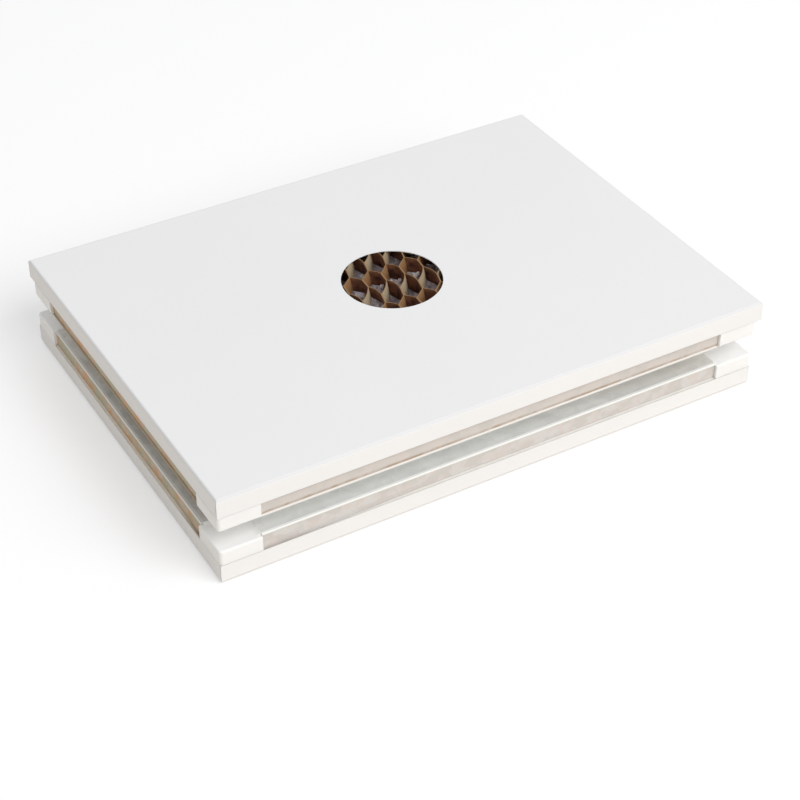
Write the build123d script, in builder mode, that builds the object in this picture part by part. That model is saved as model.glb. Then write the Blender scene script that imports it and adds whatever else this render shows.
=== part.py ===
from build123d import *
import os

# Wall-panel sample: two folded steel skins on a frame of cold-bent keels and moulded corner
# blocks, around a kraft-paper honeycomb core that shows through a round window.
# Millimetres. X is the long side, Y the depth, Z up, and the origin is the middle of the
# footprint, on the surface that the panel lies on. The front is -Y and the left side is -X.

os.makedirs("parts", exist_ok=True)

# Whole panel
panel_thickness = 50.0
top_length = 312.0
top_width = 227.2
overhang_right = 3.8  # the top skin is cut larger and passes the frame at the right and the back
overhang_back = 4.6

# Skins, coated steel sheet folded to a tray
skin_sheet = 0.5
skin_flange = 10.6
skin_bend = 1.5
seam_width = 0.35  # open joint where two folded edges meet at a corner
window_diameter = 53.6
window_x = 1.8
window_y = 1.1

# Keels, galvanised strip bent to a groove for the joining profile
keel_sheet = 0.8
keel_bend = 0.6
mouth_bend = 1.0
lip_setback = 1.65
groove_height = 10.0
groove_depth = 18.0
bead_radius = 0.75
bead_reach = 0.6  # a bead runs along each edge of the groove's mouth and stands out from the lip

# Corner blocks, moulded plastic
block_side = 22.3
block_corner = 1.8
block_edge = 0.8
block_groove_height = 12.0  # a little higher than the keels' groove, so that the profile slides in
block_stem = 27.0  # reach of the inner stem that joins the upper and the lower half
leg_length = 18.0
leg_lead = 1.5  # slope at the end of a leg that leads it into its keel

# Clearances between the pieces
rebate_gap = 0.1
end_gap = 0.2
leg_gap = 0.2
core_gap = 0.4

# Core, paper ribbons glued in lines and pulled open by hand, so the cells lean one way
paper = 0.35
cell_pitch = 11.5
row_tilt = 3.4
short_fall = 5.2
long_fall = 9.1
glue_height = 7.5
short_lean = 4.5
long_lean = 2.3
upper_glue_lean = -1.1
lower_glue_lean = -2.4
first_cell_x = -27.9
first_cell_y = 13.3

# Places that follow from the sizes above
frame_length = top_length - overhang_right
frame_width = top_width - overhang_back
left = -top_length / 2
right = left + frame_length
front = -top_width / 2
back = front + frame_width
frame_middle = Vector((left + right) / 2, (front + back) / 2)
first_cell = Vector(first_cell_x, first_cell_y)
core_floor = skin_sheet
core_roof = panel_thickness - skin_sheet
groove_floor = (panel_thickness - groove_height) / 2
groove_roof = groove_floor + groove_height
block_groove_floor = (panel_thickness - block_groove_height) / 2
block_groove_roof = block_groove_floor + block_groove_height
groove_back = lip_setback + groove_depth
keel_back = groove_back + keel_sheet
rebate_depth = skin_sheet + rebate_gap
rebate_height = skin_flange + rebate_gap

# Skins: each is one sheet folded up on all four sides, with an open joint at every corner.
# The top skin opens downwards and has the window, and the bottom skin opens upwards and ends
# flush with the corner blocks.
skin_floors = {
    "top_skin": (Plane((0, 0, panel_thickness), z_dir=(0, 0, -1)), top_length, top_width),
    "bottom_skin": (Plane(frame_middle), frame_length, frame_width),
}
for name, (floor, length, width) in skin_floors.items():
    fold_way = Axis(floor.origin, floor.z_dir)
    with BuildPart() as skin:
        with BuildSketch(floor):
            Rectangle(length, width)
        extrude(amount=skin_flange)
        fillet(skin.faces().sort_by(fold_way)[0].edges(), skin_bend)
        offset(amount=-skin_sheet, openings=skin.faces().sort_by(fold_way)[-1])
        with BuildSketch(floor.offset(skin_bend)):
            with GridLocations(length - skin_sheet, width - 2 * skin_sheet - seam_width, 2, 2):
                Rectangle(3 * skin_sheet, seam_width)
        extrude(amount=skin_flange, mode=Mode.SUBTRACT)
        if name == "top_skin":
            with Locations((window_x, window_y, panel_thickness)):
                Hole(window_diameter / 2)
    skin.part.label = name
    export_step(skin.part, f"parts/{name}.step")

# Keels: each is one strip, whose section has the groove in the middle, with a bead along each edge
# of its mouth, and a lip above and below. A section's own x runs inwards from the side of the
# frame, and its own y upwards.
keel_sides = {
    "keel_front": (Plane((left, front, 0), x_dir=(0, 1, 0), z_dir=(1, 0, 0)), frame_length),
    "keel_right": (Plane((right, front, 0), x_dir=(-1, 0, 0), z_dir=(0, 1, 0)), frame_width),
    "keel_back": (Plane((right, back, 0), x_dir=(0, -1, 0), z_dir=(-1, 0, 0)), frame_length),
    "keel_left": (Plane((left, back, 0), x_dir=(1, 0, 0), z_dir=(0, -1, 0)), frame_width),
}
outer_bend = keel_bend + keel_sheet
bead_middle = lip_setback - bead_reach + bead_radius
for name, (side, length) in keel_sides.items():
    with BuildPart() as keel:
        with BuildSketch(side.offset(block_side + end_gap)):
            with BuildLine():
                FilletPolyline(
                    (keel_back, core_roof),
                    (lip_setback, core_roof),
                    (lip_setback, groove_roof),
                    (groove_back, groove_roof),
                    (groove_back, groove_floor),
                    (lip_setback, groove_floor),
                    (lip_setback, core_floor),
                    (keel_back, core_floor),
                    radius=[outer_bend, mouth_bend, keel_bend, keel_bend, mouth_bend, outer_bend],
                )
                offset(amount=keel_sheet, side=Side.LEFT)
            make_face()
            with Locations((bead_middle, panel_thickness / 2)):
                with GridLocations(0, groove_height + 2 * bead_radius, 1, 2):
                    Circle(bead_radius)
        extrude(amount=length - 2 * (block_side + end_gap))
    keel.part.label = name
    export_step(keel.part, f"parts/{name}.step")

# Corner blocks: each is one moulding, with the groove carried round the corner, a rebate for
# each skin and four legs that plug into the keels. A block's own x and y run inwards from its
# outer corner. The rebate pair says which of its two outer sides the top skin's fold covers.
block_corners = {
    "corner_block_front_left": (Plane((left, front, 0), x_dir=(1, 0, 0)), (True, True)),
    "corner_block_front_right": (Plane((right, front, 0), x_dir=(0, 1, 0)), (False, True)),
    "corner_block_back_right": (Plane((right, back, 0), x_dir=(-1, 0, 0)), (False, False)),
    "corner_block_back_left": (Plane((left, back, 0), x_dir=(0, -1, 0)), (True, False)),
}
fold_inside = skin_bend - skin_sheet
stem_start = keel_back + leg_gap
leg_out = lip_setback + keel_sheet + leg_gap
leg_width = groove_back - leg_out
leg_reach = block_side + leg_length - leg_out
leg_low = groove_roof + 2 * bead_radius + leg_gap
leg_high = core_roof - keel_sheet - leg_gap
from_corner = (Align.MIN, Align.MIN)


def rim_edges(block, corner, level):
    """Edges at one level that run along the two outer sides of a corner block."""
    def is_outer(edge):
        middle = corner.to_local_coords(edge.center())
        return abs(middle.Z - level) < 0.01 and min(middle.X, middle.Y) < block_corner
    return block.edges().filter_by(is_outer)


def corner_reach(corner):
    """A key that says how far a face lies from a block's outer corner, along the sides."""
    def reach(face):
        middle = corner.to_local_coords(face.center())
        return max(middle.X, middle.Y)
    return reach


for name, (corner, (rebate_along_x, rebate_along_y)) in block_corners.items():
    upper_start = (rebate_depth if rebate_along_y else 0, rebate_depth if rebate_along_x else 0)
    storeys = [
        (core_floor, rebate_height, (rebate_depth, rebate_depth)),
        (rebate_height, panel_thickness - rebate_height, (0, 0)),
        (panel_thickness - rebate_height, core_roof, upper_start),
    ]
    with BuildPart() as block:
        for low, high, start in storeys:
            with BuildSketch(corner.offset(low)) as outline:
                with Locations(start):
                    Rectangle(block_side - start[0], block_side - start[1], align=from_corner)
                outer_point = outline.vertices().sort_by_distance(Vector(*start))[0]
                fillet(outer_point, block_corner - max(start))
            extrude(amount=high - low)
        with BuildSketch(corner.offset(block_groove_floor)):
            Rectangle(block_side, block_side, align=from_corner)
            with Locations((groove_back, groove_back)):
                Rectangle(block_side, block_side, align=from_corner, mode=Mode.SUBTRACT)
        extrude(amount=block_groove_height, mode=Mode.SUBTRACT)
        fillet(rim_edges(block, corner, block_groove_floor), block_edge)
        chamfer(rim_edges(block, corner, block_groove_roof), block_edge)
        chamfer(rim_edges(block, corner, core_floor), fold_inside)
        chamfer(rim_edges(block, corner, core_roof), fold_inside)
        with BuildSketch(corner.offset(core_floor)):
            with Locations((stem_start, stem_start)):
                Rectangle(block_stem - stem_start, block_stem - stem_start, align=from_corner)
        extrude(amount=core_roof - core_floor)
        with BuildSketch(corner.offset(leg_low), corner.offset(panel_thickness - leg_high)):
            with Locations((leg_out, leg_out)):
                Rectangle(leg_reach, leg_width, align=from_corner)
                Rectangle(leg_width, leg_reach, align=from_corner)
        extrude(amount=leg_high - leg_low)
        leg_ends = block.faces().sort_by(corner_reach(corner))[-4:]
        chamfer(leg_ends.edges(), leg_lead)
    block.part.label = name
    export_step(block.part, f"parts/{name}.step")

# Core: a lattice of six-sided cells in two kinds that take turns from row to row. Down one
# ribbon come an apex, a split, a joint and a meeting point, and then the next apex.
apex = Vector(0, 0)
split = apex + Vector(short_lean, -short_fall)
joint = split + Vector(upper_glue_lean, -glue_height)
meeting = joint + Vector(long_lean, -long_fall)
next_apex = meeting + Vector(lower_glue_lean, -glue_height)
step = Vector(cell_pitch, 0)


def inset_cell(corners, insets):
    """Corners of a cell's hole, with each wall moved in by its own share of paper."""
    count = len(corners)
    walls = []
    for index in range(count):
        start = corners[index]
        along = (corners[(index + 1) % count] - start).normalized()
        walls.append((start + Vector(along.Y, -along.X) * insets[index], along))
    hole = []
    for index in range(count):
        (before, before_along), (after, after_along) = walls[index - 1], walls[index]
        gap = after - before
        reach = (gap.X * after_along.Y - gap.Y * after_along.X) / (
            before_along.X * after_along.Y - before_along.Y * after_along.X
        )
        hole.append(before + before_along * reach)
    return hole


# Corners run clockwise. A glued wall is two papers thick, and each cell has two of them.
free = paper / 2
upper_cell = inset_cell(
    [apex + step, split + step, joint + step, meeting, joint, split],
    [free, paper, free, free, paper, free],
)
lower_cell = inset_cell(
    [joint, meeting, next_apex, split + next_apex - step, next_apex - step, meeting - step],
    [free, paper, free, free, paper, free],
)
core_length = frame_length - 2 * (keel_back + core_gap)
core_width = frame_width - 2 * (keel_back + core_gap)
stem_notch = block_stem - keel_back
reach_cells = int(core_length / cell_pitch)
reach_rows = int(core_width / -next_apex.Y)
cell_places = []
for row in range(-reach_rows, reach_rows + 1):
    for column in range(-reach_cells, reach_cells + 1):
        place = next_apex * row + step * column
        middle = first_cell + (place + meeting).rotate(Axis.Z, row_tilt) - frame_middle
        if abs(middle.X) < core_length / 2 + cell_pitch and abs(middle.Y) < core_width / 2 - next_apex.Y:
            cell_places.append(place)

with BuildSketch(Plane.XY.offset(core_floor)) as ribbons:
    with Locations(frame_middle):
        Rectangle(core_length, core_width)
        with GridLocations(core_length - stem_notch, core_width - stem_notch, 2, 2):
            Rectangle(stem_notch, stem_notch, mode=Mode.SUBTRACT)
    with Locations(Location(first_cell, (0, 0, row_tilt))):
        with Locations(*cell_places):
            Polygon(*upper_cell, align=None, mode=Mode.SUBTRACT)
            Polygon(*lower_cell, align=None, mode=Mode.SUBTRACT)

# Scraps that the outline cuts off the lattice are left out
with BuildPart() as core:
    extrude(ribbons.sketch.faces().sort_by(SortBy.AREA)[-1], amount=core_roof - core_floor)
core.part.label = "honeycomb_core"
export_step(core.part, "parts/honeycomb_core.step")
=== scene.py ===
import math
import random

import bpy
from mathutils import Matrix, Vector, noise


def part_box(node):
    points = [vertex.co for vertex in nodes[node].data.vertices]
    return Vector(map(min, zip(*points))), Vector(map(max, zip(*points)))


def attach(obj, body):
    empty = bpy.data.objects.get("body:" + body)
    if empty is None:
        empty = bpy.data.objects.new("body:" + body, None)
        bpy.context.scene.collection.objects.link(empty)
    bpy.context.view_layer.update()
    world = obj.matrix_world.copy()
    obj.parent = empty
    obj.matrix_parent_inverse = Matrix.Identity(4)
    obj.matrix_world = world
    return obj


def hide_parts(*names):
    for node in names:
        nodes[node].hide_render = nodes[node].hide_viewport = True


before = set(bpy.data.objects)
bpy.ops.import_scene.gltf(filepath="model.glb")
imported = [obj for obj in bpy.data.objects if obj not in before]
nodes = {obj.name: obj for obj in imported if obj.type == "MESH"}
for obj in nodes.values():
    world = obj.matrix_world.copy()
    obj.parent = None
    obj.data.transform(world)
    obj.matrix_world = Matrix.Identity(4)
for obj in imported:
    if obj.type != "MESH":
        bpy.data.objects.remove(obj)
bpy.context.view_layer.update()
mm = 0.001


# Skins: two trays of coil-coated steel sheet, 0.5 mm thick, folded over the frame and glued to it.
# The coat is satin white polyester, rolled on, which gives the eye an even, nearly matt white with
# a faint orange peel. Thin sheet that is glued down lies in long, low waves.


def srgb(code):
    """Linear colour, as shaders take it, from an sRGB hex code."""
    channels = [int(code[start : start + 2], 16) / 255 for start in (1, 3, 5)]
    linear = [c / 12.92 if c <= 0.04045 else ((c + 0.055) / 1.055) ** 2.4 for c in channels]
    return (*linear, 1.0)


def add_node(tree, kind, inputs=None, **settings):
    """Adds a node with its settings to a shader tree, and sets or links the inputs given."""
    node = tree.nodes.new(kind)
    for name, value in settings.items():
        setattr(node, name, value)
    for socket, value in (inputs or {}).items():
        if isinstance(value, bpy.types.NodeSocket):
            tree.links.new(value, node.inputs[socket])
        else:
            node.inputs[socket].default_value = value
    return node


def start_material(name):
    """A material with an empty node tree, apart from its output."""
    material = bpy.data.materials.new(name)
    material.use_nodes = True
    tree = material.node_tree
    tree.nodes.clear()
    return material, tree, add_node(tree, "ShaderNodeOutputMaterial")


def dress(piece, material):
    """Gives a piece one finish."""
    piece.data.materials.clear()
    piece.data.materials.append(material)


skin_flange = 10.6 * mm
rim_band = 0.1 * mm  # a fold's cut rim lies within this of its level
window_centre = Vector((1.8, 1.1)) * mm
window_radius = 26.8 * mm
panel_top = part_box("top_skin")[1].z


def coil_coated_steel(name, rim_level, rim_facing):
    """White polyester on steel. The folds' cut rim, which faces up or down, shows bare zinc."""
    material, tree, output = start_material(name)
    place = add_node(tree, "ShaderNodeTexCoord").outputs["Object"]
    facing = add_node(tree, "ShaderNodeNewGeometry").outputs["True Normal"]
    along_coil = add_node(tree, "ShaderNodeMapping", {"Vector": place, "Scale": (0.03, 1.0, 1.0)})

    # Coat: the white drifts a little over a hand's breadth, and the roller leaves lines along X
    cloud = add_node(
        tree, "ShaderNodeTexNoise", {"Vector": place, "Scale": 1 / (90 * mm), "Detail": 3.0}
    )
    roller = add_node(
        tree,
        "ShaderNodeTexNoise",
        {"Vector": along_coil.outputs[0], "Scale": 1 / (1.2 * mm), "Detail": 2.0},
    )
    drift = add_node(
        tree,
        "ShaderNodeMix",
        {0: cloud.outputs["Fac"], 6: srgb("#f1f1f2"), 7: srgb("#f6f5f4")},
        data_type="RGBA",
    )
    gloss = add_node(
        tree, "ShaderNodeMapRange", {"Value": roller.outputs["Fac"], "To Min": 0.52, "To Max": 0.64}
    )

    # Rim: the shears leave zinc and steel bare on the edge of the sheet
    split = add_node(tree, "ShaderNodeSeparateXYZ", {0: place})
    tilt = add_node(tree, "ShaderNodeSeparateXYZ", {0: facing})
    at_rim = add_node(
        tree,
        "ShaderNodeMath",
        {0: split.outputs["Z"], 1: rim_level, 2: rim_band},
        operation="COMPARE",
    )
    faces_out = add_node(
        tree, "ShaderNodeMath", {0: tilt.outputs["Z"], 1: rim_facing, 2: 0.3}, operation="COMPARE"
    )
    on_rim = add_node(
        tree,
        "ShaderNodeMath",
        {0: at_rim.outputs[0], 1: faces_out.outputs[0]},
        operation="MULTIPLY",
    )
    rimmed = add_node(
        tree,
        "ShaderNodeMix",
        {0: on_rim.outputs[0], 6: drift.outputs[2], 7: srgb("#d6d4cf")},
        data_type="RGBA",
    )

    # Folds: painted shade darkens the coat's colour on the folds, most where a fold stands at 45
    # degrees, so that they look no brighter under the lamp than the flat sheet
    upright = add_node(tree, "ShaderNodeMath", {0: tilt.outputs["Z"], 1: 2.0}, operation="POWER")
    level = add_node(tree, "ShaderNodeMath", {0: 1.0, 1: upright.outputs[0]}, operation="SUBTRACT")
    folded = add_node(
        tree, "ShaderNodeMath", {0: upright.outputs[0], 1: level.outputs[0]}, operation="MULTIPLY"
    )
    fold_painted_shade = add_node(
        tree,
        "ShaderNodeMapRange",
        {"Value": folded.outputs[0], "From Max": 0.25, "To Min": 1.0, "To Max": 0.86},
    )
    colour = add_node(
        tree,
        "ShaderNodeMix",
        {0: 1.0, 6: rimmed.outputs[2], 7: fold_painted_shade.outputs["Result"]},
        data_type="RGBA",
        blend_type="MULTIPLY",
    )

    # Relief: orange peel 1.5 mm across on waves 70 mm long, and the folds' edges are softly rounded
    peel = add_node(
        tree, "ShaderNodeTexNoise", {"Vector": place, "Scale": 1 / (1.5 * mm), "Detail": 1.0}
    )
    waves = add_node(
        tree, "ShaderNodeTexNoise", {"Vector": place, "Scale": 1 / (70 * mm), "Detail": 0.0}
    )
    soft_edge = add_node(tree, "ShaderNodeBevel", {"Radius": 0.3 * mm}, samples=4)
    wavy = add_node(
        tree,
        "ShaderNodeBump",
        {
            "Height": waves.outputs["Fac"],
            "Distance": 0.25 * mm,
            "Strength": 0.5,
            "Normal": soft_edge.outputs[0],
        },
    )
    peeled = add_node(
        tree,
        "ShaderNodeBump",
        {
            "Height": peel.outputs["Fac"],
            "Distance": 0.004 * mm,
            "Strength": 1.0,
            "Normal": wavy.outputs[0],
        },
    )
    coat = add_node(
        tree,
        "ShaderNodeBsdfPrincipled",
        {
            "Base Color": colour.outputs[2],
            "Roughness": gloss.outputs["Result"],
            "Specular IOR Level": 0.35,
            "Normal": peeled.outputs[0],
        },
    )
    tree.links.new(coat.outputs[0], output.inputs["Surface"])
    return material


bottom_skin = nodes["bottom_skin"]
dress(bottom_skin, coil_coated_steel("coil_coated_steel_bottom", skin_flange, 1.0))
top_skin = nodes["top_skin"]
dress(top_skin, coil_coated_steel("coil_coated_steel_top", panel_top - skin_flange, -1.0))


# Keels: galvanised strip, bent to a groove between two lips, with a bead along each edge of the
# mouth. Bloomed zinc gives the eye a pale grey, nearly white, darkened towards the groove's mouth
# as painted shade. Dried glue and dirt lie on the lips: thin and beige at three sides, orange brown
# and olive at the left, where the brown is partly a painted reflection.

groove_middle = 25.0 * mm
mouth_edge = 5.0 * mm  # half the groove's height
bead = 1.5 * mm
lip_depth = 4.0 * mm  # everything this near to a side of the frame belongs to a lip
groove_reach = 14.0 * mm  # as far in as the eye sees
block_side = 22.3 * mm  # what a corner block takes up of each of its two sides
crystal_share = 0.3  # how much the crystals count beside the bloom
frame_low, frame_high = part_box("bottom_skin")


def galvanised_steel(name, side_axis, side_level, zinc_tones, zinc_shades, bead_tones, film_tones):
    """Bloomed zinc. The keel's lips lie at side_level along side_axis.

    The zinc tones are for the near half of the side and for its far end. The zinc shades are how
    dark the zinc is made at the groove's mouth, which is painted shade, and how dark its darkest
    crystals are. The bead tones are for the lower and the upper bead, and the film tones for the
    lower lip, the upper lip, two kinds of patches, and the darker line just above the upper bead,
    which is partly glue and partly painted shade and reflection.
    """
    material, tree, output = start_material(name)
    place = add_node(tree, "ShaderNodeTexCoord").outputs["Object"]
    split = add_node(tree, "ShaderNodeSeparateXYZ", {0: place})
    stretch = (0.7, 1.0, 1.0) if side_axis == "Y" else (1.0, 0.7, 1.0)
    drawn = add_node(tree, "ShaderNodeMapping", {"Vector": place, "Scale": stretch}).outputs[0]

    # Zinc: crystals 5 mm across, each a little lighter or darker, under clouds of white bloom
    crystals = add_node(tree, "ShaderNodeTexVoronoi", {"Vector": place, "Scale": 1 / (5 * mm)})
    crystal_shade = add_node(tree, "ShaderNodeSeparateColor", {0: crystals.outputs["Color"]})
    bloom = add_node(
        tree, "ShaderNodeTexNoise", {"Vector": place, "Scale": 1 / (14 * mm), "Detail": 4.0}
    )
    mottle = add_node(
        tree,
        "ShaderNodeMath",
        {0: crystal_shade.outputs[0], 1: crystal_share, 2: bloom.outputs["Fac"]},
        operation="MULTIPLY_ADD",
    )
    mottle_shade = add_node(
        tree,
        "ShaderNodeMapRange",
        {
            "Value": mottle.outputs[0],
            "From Min": 0.4,
            "From Max": 0.9,
            "To Min": zinc_shades[1],
            "To Max": 1.0,
        },
    )
    inwards = add_node(
        tree, "ShaderNodeMath", {0: split.outputs[side_axis], 1: side_level}, operation="SUBTRACT"
    )
    depth = add_node(tree, "ShaderNodeMath", {0: inwards.outputs[0]}, operation="ABSOLUTE")
    # Painted shade: the zinc is darkened at the groove's mouth, less so deeper in, to even out the
    # light in the groove
    mouth_painted_shade = add_node(
        tree,
        "ShaderNodeMapRange",
        {
            "Value": depth.outputs[0],
            "From Max": groove_reach,
            "To Min": zinc_shades[0],
            "To Max": 1.0,
        },
    )
    shade = add_node(
        tree,
        "ShaderNodeMath",
        {0: mottle_shade.outputs["Result"], 1: mouth_painted_shade.outputs["Result"]},
        operation="MULTIPLY",
    )
    length_axis, axis = ("X", 0) if side_axis == "Y" else ("Y", 1)
    side_start, side_end = frame_low[axis], frame_high[axis]
    far_share = add_node(
        tree,
        "ShaderNodeMapRange",
        {
            "Value": split.outputs[length_axis],
            "From Min": (side_start + side_end) / 2,
            "From Max": side_end - block_side,
        },
    )
    zinc_tone = add_node(
        tree,
        "ShaderNodeMix",
        {0: far_share.outputs["Result"], 6: srgb(zinc_tones[0]), 7: srgb(zinc_tones[1])},
        data_type="RGBA",
    )
    zinc = add_node(
        tree,
        "ShaderNodeMix",
        {0: 1.0, 6: zinc_tone.outputs[2], 7: shade.outputs[0]},
        data_type="RGBA",
        blend_type="MULTIPLY",
    )

    # Film: one tone for each lip, with two kinds of patches, a little longer than they are high
    off_middle = add_node(
        tree, "ShaderNodeMath", {0: split.outputs["Z"], 1: groove_middle}, operation="SUBTRACT"
    )
    upper = add_node(
        tree, "ShaderNodeMath", {0: off_middle.outputs[0], 1: 0.0}, operation="GREATER_THAN"
    )
    lip_tone = add_node(
        tree,
        "ShaderNodeMix",
        {0: upper.outputs[0], 6: srgb(film_tones[0]), 7: srgb(film_tones[1])},
        data_type="RGBA",
    )
    film = lip_tone
    for patch_tone, patch_size in ((film_tones[2], 4.5 * mm), (film_tones[3], 6.5 * mm)):
        patch = add_node(
            tree, "ShaderNodeTexNoise", {"Vector": drawn, "Scale": 1 / patch_size, "Detail": 3.0}
        )
        patch_share = add_node(
            tree,
            "ShaderNodeMapRange",
            {"Value": patch.outputs["Fac"], "From Min": 0.47, "From Max": 0.57},
        )
        film = add_node(
            tree,
            "ShaderNodeMix",
            {0: patch_share.outputs["Result"], 6: film.outputs[2], 7: srgb(patch_tone)},
            data_type="RGBA",
        )

    # Line above the upper bead, partly glue and partly painted shade and reflection: it fades out
    # within 2 mm above the upper bead, and comes and goes along the side
    run = add_node(
        tree, "ShaderNodeTexNoise", {"Vector": drawn, "Scale": 1 / (5 * mm), "Detail": 3.0}
    )
    run_share = add_node(
        tree,
        "ShaderNodeMapRange",
        {
            "Value": run.outputs["Fac"],
            "From Min": 0.35,
            "From Max": 0.6,
            "To Min": 0.3,
            "To Max": 1.0,
        },
    )
    above_bead = add_node(
        tree,
        "ShaderNodeMapRange",
        {
            "Value": off_middle.outputs[0],
            "From Min": mouth_edge + 1.3 * bead,
            "From Max": mouth_edge + 2.2 * bead,
            "To Min": 1.0,
            "To Max": 0.0,
        },
    )
    run_above = add_node(
        tree,
        "ShaderNodeMath",
        {0: above_bead.outputs["Result"], 1: run_share.outputs["Result"]},
        operation="MULTIPLY",
    )
    on_line = add_node(
        tree, "ShaderNodeMath", {0: run_above.outputs[0], 1: upper.outputs[0]}, operation="MULTIPLY"
    )
    lined_film = add_node(
        tree,
        "ShaderNodeMix",
        {0: on_line.outputs[0], 6: film.outputs[2], 7: srgb(film_tones[4])},
        data_type="RGBA",
    )

    # Beads and lips lie near the side, and their distance from the groove's middle tells them apart
    near_side = add_node(
        tree, "ShaderNodeMath", {0: depth.outputs[0], 1: lip_depth}, operation="LESS_THAN"
    )
    height = add_node(tree, "ShaderNodeMath", {0: off_middle.outputs[0]}, operation="ABSOLUTE")
    past_mouth = add_node(
        tree,
        "ShaderNodeMath",
        {0: height.outputs[0], 1: mouth_edge + 0.01 * mm},
        operation="GREATER_THAN",
    )
    on_bead = add_node(
        tree,
        "ShaderNodeMath",
        {0: past_mouth.outputs[0], 1: near_side.outputs[0]},
        operation="MULTIPLY",
    )
    bead_tone = add_node(
        tree,
        "ShaderNodeMix",
        {0: upper.outputs[0], 6: srgb(bead_tones[0]), 7: srgb(bead_tones[1])},
        data_type="RGBA",
    )
    beaded = add_node(
        tree,
        "ShaderNodeMix",
        {0: on_bead.outputs[0], 6: zinc.outputs[2], 7: bead_tone.outputs[2]},
        data_type="RGBA",
    )
    past_bead = add_node(
        tree,
        "ShaderNodeMapRange",
        {
            "Value": height.outputs[0],
            "From Min": mouth_edge + 0.9 * bead,
            "From Max": mouth_edge + 1.1 * bead,
        },
    )
    on_lip = add_node(
        tree,
        "ShaderNodeMath",
        {0: past_bead.outputs["Result"], 1: near_side.outputs[0]},
        operation="MULTIPLY",
    )
    colour = add_node(
        tree,
        "ShaderNodeMix",
        {0: on_lip.outputs[0], 6: beaded.outputs[2], 7: lined_film.outputs[2]},
        data_type="RGBA",
    )

    # The bloom hides nearly all of the metal's shine
    dull = add_node(
        tree, "ShaderNodeMapRange", {"Value": bloom.outputs["Fac"], "To Min": 0.45, "To Max": 0.7}
    )
    ripple = add_node(
        tree, "ShaderNodeTexNoise", {"Vector": drawn, "Scale": 1 / (2 * mm), "Detail": 2.0}
    )
    relief = add_node(
        tree,
        "ShaderNodeBump",
        {"Height": ripple.outputs["Fac"], "Distance": 0.05 * mm, "Strength": 0.5},
    )
    metal = add_node(
        tree,
        "ShaderNodeBsdfPrincipled",
        {
            "Base Color": colour.outputs[2],
            "Metallic": 0.06,
            "Roughness": dull.outputs["Result"],
            "Normal": relief.outputs[0],
        },
    )
    tree.links.new(metal.outputs[0], output.inputs["Surface"])
    return material


# The first of each keel's zinc shades (0.7 and 0.95) is painted shade at the groove's mouth
pale_zinc = ("#fafbf9", "#f2f0eb")
beige_film = ("#d9d6d3", "#d6d0cb", "#d9d0ca", "#d1ccc7", "#aa937a")
pale_keel = (pale_zinc, (0.7, 0.88), ("#f2f2f0", "#e8e5e1"), beige_film)
# At the left, the orange brown film and patch tones are partly glue stains and partly a painted
# reflection, and the darkest tone, for the line over the upper bead, is painted shade.
stained_keel_with_painted_reflection = (
    ("#e2dfd9", "#f8f5f0"),
    (0.95, 0.73),
    ("#e6e4e0", "#a8967f"),
    ("#c6b5a2", "#c4ad95", "#cf9d72", "#b3b098", "#8c7455"),
)
keel_sides = {
    "front": ("Y", frame_low.y, pale_keel),
    "right": ("X", frame_high.x, pale_keel),
    "back": ("Y", frame_high.y, pale_keel),
    "left": ("X", frame_low.x, stained_keel_with_painted_reflection),
}
for side, (side_axis, side_level, tones) in keel_sides.items():
    finish = galvanised_steel(f"galvanised_steel_{side}", side_axis, side_level, *tones)
    dress(nodes[f"keel_{side}"], finish)


# Glue seams: contact glue from under each keel has come up between its lower lip and the fold of
# the bottom skin, and has set there as a pale, lumpy bead, which lies low at the front left corner.

skin_sheet = 0.5 * mm
lip_face = 1.65 * mm  # how far in from the side of the frame the keels' lips lie
seam_tuck = 0.2 * mm  # how far past the middle of that gap the bead lies, towards the lip
seam_inset = (skin_sheet + lip_face) / 2 + seam_tuck
seam_level = skin_flange - 0.1 * mm  # a hair below the rim of the fold
seam_sink = 2.6 * mm  # how much lower the bead starts at the front left corner block
low_at_front = 80.0 * mm  # the length over which it comes up from there, along the front
low_at_left = 24.0 * mm
seam_spacing = 3 * mm  # between the rings of the bead


def closed_tube(first, count, spans):
    """The faces of a tube through rings of vertices, count to a ring, closed at both its ends."""
    faces = []
    for here in range(first, first + spans * count, count):
        for index in range(count):
            after = (index + 1) % count
            faces.append((here + index, here + after, here + count + after, here + count + index))
    last = first + spans * count
    faces.append(tuple(range(first + count - 1, first - 1, -1)))
    faces.append(tuple(range(last, last + count)))
    return faces


def mesh_piece(name, vertices, faces, smooth=True):
    """A new object in the scene, with this mesh."""
    mesh = bpy.data.meshes.new(name)
    mesh.from_pydata(vertices, [], faces)
    mesh.polygons.foreach_set("use_smooth", [smooth] * len(faces))
    mesh.update()
    piece = bpy.data.objects.new(name, mesh)
    bpy.context.scene.collection.objects.link(piece)
    return piece


def glue_seam(name, start, end, low_start, fill):
    """A bead of glue, uneven as it was squeezed out. It comes up to its level over low_start."""
    along = (end - start).normalized()
    across = Vector((-along.y, along.x, 0.0))
    up = Vector((0.0, 0.0, 1.0))
    sides = 8
    spans = int((end - start).length / seam_spacing)
    vertices = []
    for station in range(spans + 1):
        middle = start + (end - start) * (station / spans)
        if low_start:
            middle -= up * seam_sink * max(0.0, 1 - (middle - start).length / low_start)
        radius = (lip_face - skin_sheet) * random.uniform(*fill)
        for side in range(sides):
            angle = 2 * math.pi * side / sides
            out = across * radius * math.cos(angle) + up * radius * math.sin(angle)
            vertices.append(middle + out)
    return mesh_piece(name, vertices, closed_tube(0, sides, spans))


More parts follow.
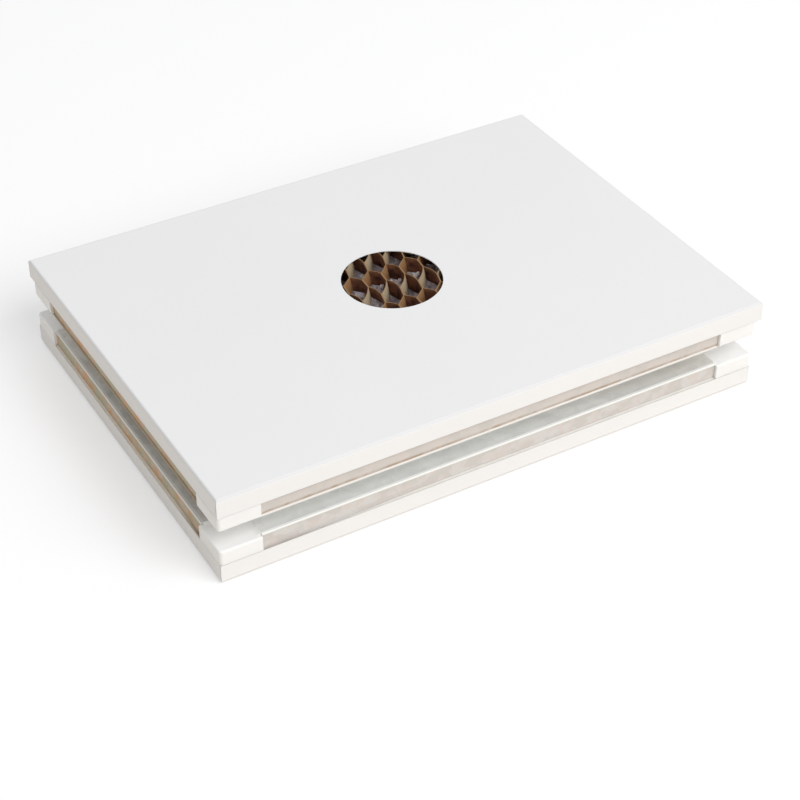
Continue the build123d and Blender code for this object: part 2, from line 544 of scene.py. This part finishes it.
def contact_glue(name, dark, light):
    """Set glue, lumpy, with dirt on it where the sample was handled."""
    material, tree, output = start_material(name)
    place = add_node(tree, "ShaderNodeTexCoord").outputs["Object"]
    lumps = add_node(
        tree, "ShaderNodeTexNoise", {"Vector": place, "Scale": 1 / (2 * mm), "Detail": 3.0}
    )
    tone = add_node(
        tree,
        "ShaderNodeMix",
        {0: lumps.outputs["Fac"], 6: srgb(dark), 7: srgb(light)},
        data_type="RGBA",
    )
    relief = add_node(
        tree,
        "ShaderNodeBump",
        {"Height": lumps.outputs["Fac"], "Distance": 0.2 * mm, "Strength": 0.6},
    )
    glue = add_node(
        tree,
        "ShaderNodeBsdfPrincipled",
        {"Base Color": tone.outputs[2], "Roughness": 0.5, "Normal": relief.outputs[0]},
    )
    tree.links.new(glue.outputs[0], output.inputs["Surface"])
    return material


pale_glue = contact_glue("contact_glue", "#d2cec8", "#e4e1dc")
dirty_glue = contact_glue("contact_glue_dirty", "#ccbca6", "#e2d8c9")
seam_left, seam_right = frame_low.x + seam_inset, frame_high.x - seam_inset
seam_front, seam_back = frame_low.y + seam_inset, frame_high.y - seam_inset
past_left, past_right = frame_low.x + block_side, frame_high.x - block_side
past_front, past_back = frame_low.y + block_side, frame_high.y - block_side
even_fill, full_fill = (0.62, 0.74), (0.78, 0.92)  # the bead's radius as a share of its gap
seam_runs = {
    "front": ((past_left, seam_front), (past_right, seam_front), low_at_front, even_fill),
    "right": ((seam_right, past_front), (seam_right, past_back), 0.0, even_fill),
    "back": ((past_right, seam_back), (past_left, seam_back), 0.0, even_fill),
    "left": ((seam_left, past_front), (seam_left, past_back), low_at_left, full_fill),
}
random.seed(3)
for side, (start, end, low_start, fill) in seam_runs.items():
    run = Vector((*start, seam_level)), Vector((*end, seam_level))
    seam = glue_seam(f"glue_seam_{side}", *run, low_start, fill)
    dress(seam, dirty_glue if side == "left" else pale_glue)
    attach(seam, "root")


# Corner blocks: one white moulding at each corner, pushed into the two keels beside it. Moulded
# ABS gives the eye a soft, warm white that is a shade less even than the coated steel, with rounded
# edges and the fine grain of a spark-eroded mould.


def moulded_abs(name):
    """White ABS from a lightly grained mould."""
    material, tree, output = start_material(name)
    place = add_node(tree, "ShaderNodeTexCoord").outputs["Object"]
    grain = add_node(
        tree, "ShaderNodeTexNoise", {"Vector": place, "Scale": 1 / (0.5 * mm), "Detail": 2.0}
    )
    flow = add_node(
        tree, "ShaderNodeTexNoise", {"Vector": place, "Scale": 1 / (12 * mm), "Detail": 3.0}
    )
    colour = add_node(
        tree,
        "ShaderNodeMix",
        {0: flow.outputs["Fac"], 6: srgb("#f8f8f7"), 7: srgb("#fcfcfb")},
        data_type="RGBA",
    )
    soft_edge = add_node(tree, "ShaderNodeBevel", {"Radius": 0.5 * mm}, samples=6)
    relief = add_node(
        tree,
        "ShaderNodeBump",
        {"Height": grain.outputs["Fac"], "Distance": 0.01 * mm, "Normal": soft_edge.outputs[0]},
    )
    plastic = add_node(
        tree,
        "ShaderNodeBsdfPrincipled",
        {
            "Base Color": colour.outputs[2],
            "Roughness": 0.5,
            "IOR": 1.53,
            "Subsurface Weight": 0.3,
            "Subsurface Radius": (1.0, 0.95, 0.9),
            "Subsurface Scale": 3 * mm,
            "Normal": relief.outputs[0],
        },
    )
    tree.links.new(plastic.outputs[0], output.inputs["Surface"])
    return material


block_abs = moulded_abs("moulded_abs")
for corner in ("front_left", "front_right", "back_right", "back_left"):
    dress(nodes[f"corner_block_{corner}"], block_abs)


# Sealant: the keels' groove is narrower than the corner blocks' by a millimetre above and below,
# and white acrylic sealant is drawn into each step with a fingertip, which leaves it soft, slightly
# hollow and a little uneven.

block_groove = (19.0 * mm, 31.0 * mm)
keel_groove = (20.0 * mm, 30.0 * mm)
sealant_profile = [(-1.9, 0.0), (-1.2, 0.22), (-0.6, 0.52), (-0.1, 0.9), (0.15, 0.9), (0.15, 0.0)]
sealant_start, sealant_end = 2.2 * mm, 19.6 * mm  # how far in from the side of the frame
sealant_spans = 8
finger_press = (0.85, 1.1)  # how wide the fingertip draws it, as a share of the profile


def sealant_bead(corner, way, along_x, block_level, keel_level, vertices, faces):
    """Adds one bead, from the mouth of the groove inwards, with closed ends.

    Its profile gives millimetres along the side from the end of the corner block, less than 0 on
    the block, and shares of the step's height.
    """
    first = len(vertices)
    for station in range(sealant_spans + 1):
        inwards = sealant_start + (sealant_end - sealant_start) * station / sealant_spans
        wide = random.uniform(*finger_press)
        for out, up in sealant_profile:
            along = block_side + (out * wide if out < 0 else out) * mm
            level = block_level + (keel_level - block_level) * up
            x, y = (along, inwards) if along_x else (inwards, along)
            vertices.append((corner[0] + way[0] * x, corner[1] + way[1] * y, level))
    faces += closed_tube(first, len(sealant_profile), sealant_spans)


sealant_vertices, sealant_faces = [], []
corner_points = {
    (frame_low.x, frame_low.y): (1, 1),
    (frame_high.x, frame_low.y): (-1, 1),
    (frame_high.x, frame_high.y): (-1, -1),
    (frame_low.x, frame_high.y): (1, -1),
}
random.seed(5)
for corner, way in corner_points.items():
    for along_x in (True, False):
        for step_levels in zip(block_groove, keel_groove):
            sealant_bead(corner, way, along_x, *step_levels, sealant_vertices, sealant_faces)
joint_sealant = mesh_piece("joint_sealant", sealant_vertices, sealant_faces, smooth=False)

material, tree, output = start_material("acrylic_sealant")
place = add_node(tree, "ShaderNodeTexCoord").outputs["Object"]
smear = add_node(
    tree, "ShaderNodeTexNoise", {"Vector": place, "Scale": 1 / (3 * mm), "Detail": 2.0}
)
tone = add_node(
    tree,
    "ShaderNodeMix",
    {0: smear.outputs["Fac"], 6: srgb("#f1f1ee"), 7: srgb("#f9f9f7")},
    data_type="RGBA",
)
relief = add_node(
    tree, "ShaderNodeBump", {"Height": smear.outputs["Fac"], "Distance": 0.1 * mm, "Strength": 0.5}
)
sealant = add_node(
    tree,
    "ShaderNodeBsdfPrincipled",
    {"Base Color": tone.outputs[2], "Roughness": 0.55, "Normal": relief.outputs[0]},
)
tree.links.new(sealant.outputs[0], output.inputs["Surface"])
dress(joint_sealant, material)
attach(joint_sealant, "root")


# Core: ribbons of kraft paper, glued to each other in lines and pulled open by hand, so that the
# cells lean. Kraft is unbleached, so the eye gets a matt tan with darker fibres. One ribbon in two
# is greyer. Each ribbon's outer side is painted dark as shade, with a paler band of painted light
# under its cut edge.

core_low, core_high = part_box("honeycomb_core")
paper = 0.35 * mm
ribbon_spacing = 2 * mm  # between the points along a ribbon
paper_levels = [depth * mm for depth in (0.0, 0.8, 3.0, 7.0, 12.0, 20.0, 49.0)]
corner_notch = 6.55 * mm  # the corner blocks' stems stand in the core's corners
shortest_run = 4  # points of a ribbon: a smaller scrap falls out of the core
lit_band_depth = 4 * mm  # below the cut edge, where the painted shade gives way to painted light
light_through = 0.2  # the share of light that the paper lets through

# Lattice: five corners in plan, which two cells share. They repeat from column to column by step,
# and from row to row by next_apex.
step = Vector((11.5, 0.0)) * mm
apex = Vector((0.0, 0.0)) * mm
split = Vector((4.5, -5.2)) * mm
joint = Vector((3.4, -12.7)) * mm
meeting = Vector((5.7, -21.8)) * mm
next_apex = Vector((3.3, -29.3)) * mm
grey_bows = (0.5 * mm, 0.0, 0.7 * mm, 0.0)  # how far each wall swells between its corners
tan_bows = (0.0, 0.0, 1.0 * mm, 0.0)
first_cell = Vector((-27.9, 13.3)) * mm  # where the apex of the first cell lies
row_tilt = math.radians(3.4)
paper_lean = 5.0 * mm  # how far the paper leans towards +X below its cut edge
lean_depth = 18 * mm
hand_pull = 0.35 * mm  # how uneven the cells are, over pull_length
pull_length = 9 * mm
pull_apart = Vector((31.0, 17.0, 5.0))  # so that the unevenness along Y isn't the one along X


def lattice_place(point):
    """Where a point of the even lattice lies in plan, in a core that was pulled open by hand."""
    turned = Vector((
        point.x * math.cos(row_tilt) - point.y * math.sin(row_tilt),
        point.x * math.sin(row_tilt) + point.y * math.cos(row_tilt),
    ))
    place = first_cell + turned
    spot = Vector((*place, 0.0)) / pull_length
    return place + Vector((noise.noise(spot), noise.noise(spot + pull_apart))) * hand_pull


def in_core(point):
    """True where a point in plan lies in the core's outline."""
    to_x = min(point.x - core_low.x, core_high.x - point.x)
    to_y = min(point.y - core_low.y, core_high.y - point.y)
    return to_x > paper and to_y > paper and (to_x > corner_notch or to_y > corner_notch)


def leaned(point, depth):
    """A point in plan, moved by the lean of the paper at a depth below the cut edge."""
    lean = paper_lean * (1 - math.exp(-depth / lean_depth))
    return Vector((min(point.x + lean, core_high.x), point.y, core_high.z - depth))


def ribbon_line(start, greyer):
    """Points in plan along one ribbon, which is glued to its left and right neighbour in turn."""
    glued = Vector((paper / 2, 0.0))
    row_drop = next_apex - step
    if greyer:
        corners = [apex + glued, split - glued, joint - glued, meeting - step + glued]
        bows = grey_bows
    else:
        corners = [apex + step - glued, split + glued, joint + glued, meeting - glued]
        bows = tan_bows
    corners.append(corners[0] + row_drop)
    rows = int((core_high.y - core_low.y) / -next_apex.y) + 3
    line = []
    for row in range(-rows, rows + 1):
        for index, bow in enumerate(bows):
            wall = corners[index + 1] - corners[index]
            across = Vector((-wall.y, wall.x)).normalized()
            pieces = max(2, round(wall.length / ribbon_spacing))
            for piece in range(pieces):
                share = piece / pieces
                swell = 4 * share * (1 - share) * bow
                spot = corners[index] + wall * share + across * swell
                line.append(lattice_place(start + row_drop * row + spot))
    return line


def ribbon_runs(line):
    """The stretches of a ribbon that lie in the core, each with the direction across the paper."""
    run = []
    for index in range(1, len(line) - 1):
        if in_core(line[index]):
            along = (line[index + 1] - line[index - 1]).normalized()
            run.append((line[index], Vector((-along.y, along.x))))
        elif run:
            yield run
            run = []
    if run:
        yield run


vertices, faces, sides, greys = [], [], [], []
reach = int((core_high.x - core_low.x) / step.x)
for greyer in (True, False):
    for column in range(-reach, reach + 1):
        for run in ribbon_runs(ribbon_line(step * column, greyer)):
            if len(run) < shortest_run:
                continue
            first = len(vertices)
            for point, across in run:
                for depth in paper_levels:
                    for face_side in (-1, 1):
                        vertices.append(leaned(point + across * face_side * paper / 2, depth))
            ring = 2 * len(paper_levels)
            for here in range(first, first + (len(run) - 1) * ring, ring):
                there = here + ring
                for up in range(0, ring - 2, 2):
                    faces.append((here + up, there + up, there + up + 2, here + up + 2))
                    faces.append((here + up + 1, here + up + 3, there + up + 3, there + up + 1))
                    sides += [0.0, 1.0]
                faces.append((here, here + 1, there + 1, there))
                faces.append((here + ring - 2, there + ring - 2, there + ring - 1, here + ring - 1))
                sides += [0.5, 0.5]
            greys += [1.0 if greyer else 0.0] * (len(faces) - len(greys))

kraft_ribbons = mesh_piece("kraft_ribbons", vertices, faces)
for attribute, values in (("paper_side", sides), ("paper_grey", greys)):
    kraft_ribbons.data.attributes.new(attribute, "FLOAT", "FACE").data.foreach_set("value", values)
kraft_ribbons.data.set_sharp_from_angle(angle=math.radians(45))
kraft_ribbons.data.update()


def kraft_paper(name):
    """Unbleached kraft, matt and fibrous.

    The paper_side attribute is 0 on the side that is painted dark as shade, 1 on the other one and
    0.5 on the cut edge, and paper_grey is 1 on the greyer ribbons.
    """
    material, tree, output = start_material(name)
    place = add_node(tree, "ShaderNodeTexCoord").outputs["Object"]
    side = add_node(tree, "ShaderNodeAttribute", attribute_name="paper_side").outputs["Fac"]
    grey = add_node(tree, "ShaderNodeAttribute", attribute_name="paper_grey").outputs["Fac"]

    # Sheet: fibres a millimetre long, lying along the ribbon. One side is painted dark as shade,
    # and paler under the cut edge as painted light
    flat = add_node(tree, "ShaderNodeMapping", {"Vector": place, "Scale": (1.0, 1.0, 3.0)})
    fibre = add_node(
        tree,
        "ShaderNodeTexNoise",
        {"Vector": flat.outputs[0], "Scale": 1 / (1 * mm), "Detail": 5.0},
    )
    cloud = add_node(
        tree, "ShaderNodeTexNoise", {"Vector": place, "Scale": 1 / (5 * mm), "Detail": 2.0}
    )
    blotch = add_node(
        tree,
        "ShaderNodeMapRange",
        {"Value": cloud.outputs["Fac"], "From Min": 0.35, "From Max": 0.65},
    )
    warm = add_node(
        tree,
        "ShaderNodeMix",
        {0: fibre.outputs["Fac"], 6: srgb("#9a7048"), 7: srgb("#b5895e")},
        data_type="RGBA",
    )
    cool = add_node(
        tree,
        "ShaderNodeMix",
        {0: fibre.outputs["Fac"], 6: srgb("#b8a587"), 7: srgb("#d0bc9e")},
        data_type="RGBA",
    )
    # Painted shade for the outer side of each ribbon: a blotchy dark brown
    painted_shade_side = add_node(
        tree,
        "ShaderNodeMix",
        {0: blotch.outputs["Result"], 6: srgb("#44251b"), 7: srgb("#925f45")},
        data_type="RGBA",
    )
    sheet = add_node(
        tree, "ShaderNodeMix", {0: grey, 6: warm.outputs[2], 7: cool.outputs[2]}, data_type="RGBA"
    )
    split = add_node(tree, "ShaderNodeSeparateXYZ", {0: place})
    to_edge = add_node(
        tree,
        "ShaderNodeMapRange",
        {
            "Value": split.outputs["Z"],
            "From Min": core_high.z - lit_band_depth,
            "From Max": core_high.z,
            "To Max": 0.9,
        },
    )
    # Painted light: that side grows paler over the top few millimetres, up to the cut edge
    painted_shade_side_lit_top = add_node(
        tree,
        "ShaderNodeMix",
        {0: to_edge.outputs["Result"], 6: painted_shade_side.outputs[2], 7: srgb("#8b6242")},
        data_type="RGBA",
    )
    outer = add_node(tree, "ShaderNodeMath", {0: side, 1: 0.25}, operation="LESS_THAN")
    cut = add_node(tree, "ShaderNodeMath", {0: side, 1: 0.5, 2: 0.1}, operation="COMPARE")
    two_sided = add_node(
        tree,
        "ShaderNodeMix",
        {0: outer.outputs[0], 6: sheet.outputs[2], 7: painted_shade_side_lit_top.outputs[2]},
        data_type="RGBA",
    )
    colour = add_node(
        tree,
        "ShaderNodeMix",
        {0: cut.outputs[0], 6: two_sided.outputs[2], 7: srgb("#ac875e")},
        data_type="RGBA",
    )
    relief = add_node(
        tree,
        "ShaderNodeBump",
        {"Height": fibre.outputs["Fac"], "Distance": 0.08 * mm, "Strength": 0.7},
    )
    sheet_shader = add_node(
        tree,
        "ShaderNodeBsdfPrincipled",
        {
            "Base Color": colour.outputs[2],
            "Roughness": 0.8,
            "IOR": 1.5,
            "Normal": relief.outputs[0],
        },
    )
    through = add_node(
        tree, "ShaderNodeBsdfTranslucent", {"Color": colour.outputs[2], "Normal": relief.outputs[0]}
    )
    kraft = add_node(
        tree,
        "ShaderNodeMixShader",
        {0: light_through, 1: sheet_shader.outputs[0], 2: through.outputs[0]},
    )
    tree.links.new(kraft.outputs[0], output.inputs["Surface"])
    return material


dress(kraft_ribbons, kraft_paper("kraft_paper"))
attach(kraft_ribbons, "root")
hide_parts("honeycomb_core")


# Glue in the cells: the polyurethane glue that holds the core has foamed up, and has set with a
# shiny, uneven skin about a centimetre under the window. It is grey with a violet tinge, and it
# climbs the paper a little. Whitish blue spots on it are painted highlights.

glue_depth = 11.0 * mm
glue_climb = 2.2 * mm
glue_reach = window_radius + 15 * mm
glue_rows, glue_columns = range(-6, 7), range(-12, 13)  # cells enough to cover that reach
glue_rings = 8
rim_spacing = 1.2 * mm  # between the points of a ring
pool_length, pool_swing = 7 * mm, 3 * mm  # the level changes from cell to cell
lump_length, lump_height = 2.5 * mm, 0.8 * mm
drop_stand = 0.8 * mm  # how high a drop's middle is over the glue at the wall
drop_along, drop_inwards = 0.1, 0.16  # shares of the wall, and of the way to the cell's middle


def glue_surface(outline, depth, vertices, faces):
    """Adds one cell's skin of glue: rings from the middle of the cell out to its paper walls."""
    middle = sum(outline, Vector((0.0, 0.0))) / len(outline)
    first = len(vertices)
    vertices.append(leaned(middle, depth))
    for ring in range(1, glue_rings + 1):
        share = ring / glue_rings
        at_wall = share**4  # the glue climbs only where it is near the paper
        for corner in outline:
            point = middle.lerp(corner, share)
            lump = noise.noise(Vector((*point, 0.0)) / lump_length) * lump_height
            vertices.append(leaned(point, depth + lump * (1 - at_wall) - glue_climb * at_wall))
    count = len(outline)
    for index in range(count):
        after = (index + 1) % count
        faces.append((first, first + 1 + index, first + 1 + after))
        for ring in range(glue_rings - 1):
            inner = first + 1 + ring * count
            outer = inner + count
            faces.append((inner + index, outer + index, outer + after, inner + after))


def dense(corners, spacing):
    """The outline through these corners, with points no further apart than the spacing."""
    points = []
    for index, corner in enumerate(corners):
        wall = corners[(index + 1) % len(corners)] - corner
        pieces = max(1, math.ceil(wall.length / spacing))
        points += [corner + wall * (piece / pieces) for piece in range(pieces)]
    return points


glue_vertices, glue_faces, drop_places = [], [], []
upper_cell = [apex + step, split, joint, meeting, joint + step, split + step]
lower_cell = [joint, meeting - step, next_apex - step, split + next_apex - step, next_apex, meeting]
for row in glue_rows:
    for column in glue_columns:
        for cell in (upper_cell, lower_cell):
            outline = [lattice_place(corner + next_apex * row + step * column) for corner in cell]
            middle = sum(outline, Vector((0.0, 0.0))) / len(outline)
            if (middle - window_centre).length > glue_reach:
                continue
            depth = glue_depth + noise.noise(Vector((*middle, 0.0)) / pool_length) * pool_swing
            glue_surface(dense(outline, rim_spacing), depth, glue_vertices, glue_faces)
            if cell is upper_cell:
                beside_corner = outline[-1].lerp(outline[0], drop_along).lerp(middle, drop_inwards)
                drop_places.append(leaned(beside_corner, depth - glue_climb - drop_stand))
set_glue = mesh_piece("set_glue", glue_vertices, glue_faces)


def foamed_glue(name):
    """Set polyurethane glue, shiny and full of small bubbles."""
    material, tree, output = start_material(name)
    place = add_node(tree, "ShaderNodeTexCoord").outputs["Object"]
    cloud = add_node(
        tree, "ShaderNodeTexNoise", {"Vector": place, "Scale": 1 / (4 * mm), "Detail": 3.0}
    )
    cloud_share = add_node(
        tree,
        "ShaderNodeMapRange",
        {"Value": cloud.outputs["Fac"], "From Min": 0.35, "From Max": 0.65},
    )
    # Painted highlights: whitish blue spots on the glue's skin
    painted_highlight_spots = add_node(
        tree, "ShaderNodeTexNoise", {"Vector": place, "Scale": 1 / (5 * mm), "Detail": 2.0}
    )
    painted_highlight_share = add_node(
        tree,
        "ShaderNodeMapRange",
        {"Value": painted_highlight_spots.outputs["Fac"], "From Min": 0.56, "From Max": 0.66},
    )
    bubbles = add_node(
        tree,
        "ShaderNodeTexVoronoi",
        {"Vector": place, "Scale": 1 / (1.6 * mm)},
        feature="SMOOTH_F1",
    )
    skin = add_node(
        tree,
        "ShaderNodeMix",
        {0: cloud_share.outputs["Result"], 6: srgb("#867980"), 7: srgb("#cec6d0")},
        data_type="RGBA",
    )
    colour = add_node(
        tree,
        "ShaderNodeMix",
        {0: painted_highlight_share.outputs["Result"], 6: skin.outputs[2], 7: srgb("#f4f8fb")},
        data_type="RGBA",
    )
    relief = add_node(
        tree,
        "ShaderNodeBump",
        {"Height": bubbles.outputs["Distance"], "Distance": 0.4 * mm, "Strength": 0.6},
    )
    glue = add_node(
        tree,
        "ShaderNodeBsdfPrincipled",
        {
            "Base Color": colour.outputs[2],
            "Roughness": 0.2,
            "IOR": 1.6,
            "Coat Weight": 1.0,
            "Coat Roughness": 0.12,
            "Coat Normal": relief.outputs[0],
            "Normal": relief.outputs[0],
        },
    )
    tree.links.new(glue.outputs[0], output.inputs["Surface"])
    return material


dress(set_glue, foamed_glue("foamed_glue"))
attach(set_glue, "root")


# Drops of glue and painted glints: in some of the cells a white drop clings to the paper just over
# the glue, beside the corner where two ribbons part. It stands partly for glue that hasn't foamed,
# smooth and pale, and partly for a glint of light there, which its pure white paints in.

drop_radii = (1.0, 1.2)  # in mm
bare_share = 0.5  # of the places stay without a drop

material, tree, output = start_material("white_glue_and_painted_glint")
drop_glue_and_glint = add_node(
    tree, "ShaderNodeBsdfPrincipled", {"Base Color": srgb("#ffffff"), "Roughness": 0.3, "IOR": 1.5}
)
tree.links.new(drop_glue_and_glint.outputs[0], output.inputs["Surface"])
random.seed(2704)
for index, place in enumerate(drop_places):
    if random.random() < bare_share:
        continue
    radius = random.uniform(*drop_radii) * mm
    bpy.ops.mesh.primitive_uv_sphere_add(segments=16, ring_count=10, radius=radius, location=place)
    drop = bpy.context.object
    drop.name = f"glue_drop_and_painted_glint_{index}"
    drop.data.polygons.foreach_set("use_smooth", [True] * len(drop.data.polygons))
    dress(drop, material)
    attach(drop, "root")


# Setting: a plain pale floor, an even white surround, and one large square lamp at the front right,
# 43 degrees up. The floor and the surround look whiter than the light that they give.

floor_reach = 3.0
floor_gap = 0.2 * mm
floor_lift = 0.3
surround_level = 0.565


def background_rays(tree, path):
    """One for the rays that show the background: to the camera, in gloss and through glass."""
    shown = path.outputs["Is Camera Ray"]
    for kind in ("Is Glossy Ray", "Is Transmission Ray"):
        either = add_node(
            tree, "ShaderNodeMath", {0: shown, 1: path.outputs[kind]}, operation="MAXIMUM"
        )
        shown = either.outputs[0]
    return shown


bpy.ops.mesh.primitive_plane_add(size=2 * floor_reach, location=(0, 0, -floor_gap))
floor = bpy.context.object
floor.name = "studio_floor"
material, tree, output = start_material("studio_floor_white")
path = add_node(tree, "ShaderNodeLightPath")
seen = background_rays(tree, path)
lift = add_node(tree, "ShaderNodeMath", {0: seen, 1: floor_lift}, operation="MULTIPLY")
tone = add_node(
    tree,
    "ShaderNodeMix",
    {0: path.outputs["Is Camera Ray"], 6: srgb("#e4dcd1"), 7: srgb("#e4e4e4")},
    data_type="RGBA",
)
matt = add_node(tree, "ShaderNodeBsdfDiffuse", {"Color": tone.outputs[2]})
glow = add_node(tree, "ShaderNodeEmission", {"Strength": lift.outputs[0]})
both = add_node(tree, "ShaderNodeAddShader", {0: matt.outputs[0], 1: glow.outputs[0]})
tree.links.new(both.outputs[0], output.inputs["Surface"])
dress(floor, material)

world = bpy.data.worlds.new("studio_surround")
bpy.context.scene.world = world
world.use_nodes = True
tree = world.node_tree
tree.nodes.clear()
path = add_node(tree, "ShaderNodeLightPath")
seen = background_rays(tree, path)
level = add_node(
    tree, "ShaderNodeMapRange", {"Value": seen, "To Min": surround_level, "To Max": 1.0}
)
surround = add_node(
    tree, "ShaderNodeBackground", {"Color": srgb("#fdfeff"), "Strength": level.outputs[0]}
)
tree.links.new(surround.outputs[0], add_node(tree, "ShaderNodeOutputWorld").inputs["Surface"])

key_direction = Vector((0.274, -0.679, 0.682))
key_distance = 3.6
key_size = 2.8
key_level = 0.63
lamp = bpy.data.lights.new("key_softbox", "AREA")
lamp.shape = "SQUARE"
lamp.size = key_size
lamp.energy = key_level * (math.pi * key_distance) ** 2
key = bpy.data.objects.new("key_softbox", lamp)
key.location = key_direction.normalized() * key_distance
key.rotation_euler = key_direction.to_track_quat("Z", "Y").to_euler()
bpy.context.scene.collection.objects.link(key)


# Camera: at the photograph's place, about 1 m away, held level. It stands to the left of the front
# and looks 38 degrees down.

camera_yaw = math.radians(-30.18)
camera_tilt = math.radians(52.25)
camera_aim = Vector((-8.5, -24.9, -8.6)) * mm
camera_distance = 1.0262
camera_data = bpy.data.cameras.new("camera")
camera_data.lens = 87.16
camera_data.sensor_width = 36.0
camera = bpy.data.objects.new("camera", camera_data)
camera.rotation_euler = (camera_tilt, 0.0, camera_yaw)
bpy.context.scene.collection.objects.link(camera)
camera.location = camera_aim + camera.rotation_euler.to_matrix() @ Vector((0, 0, camera_distance))
bpy.context.scene.camera = camera
bpy.context.scene.view_settings.view_transform = "Standard"
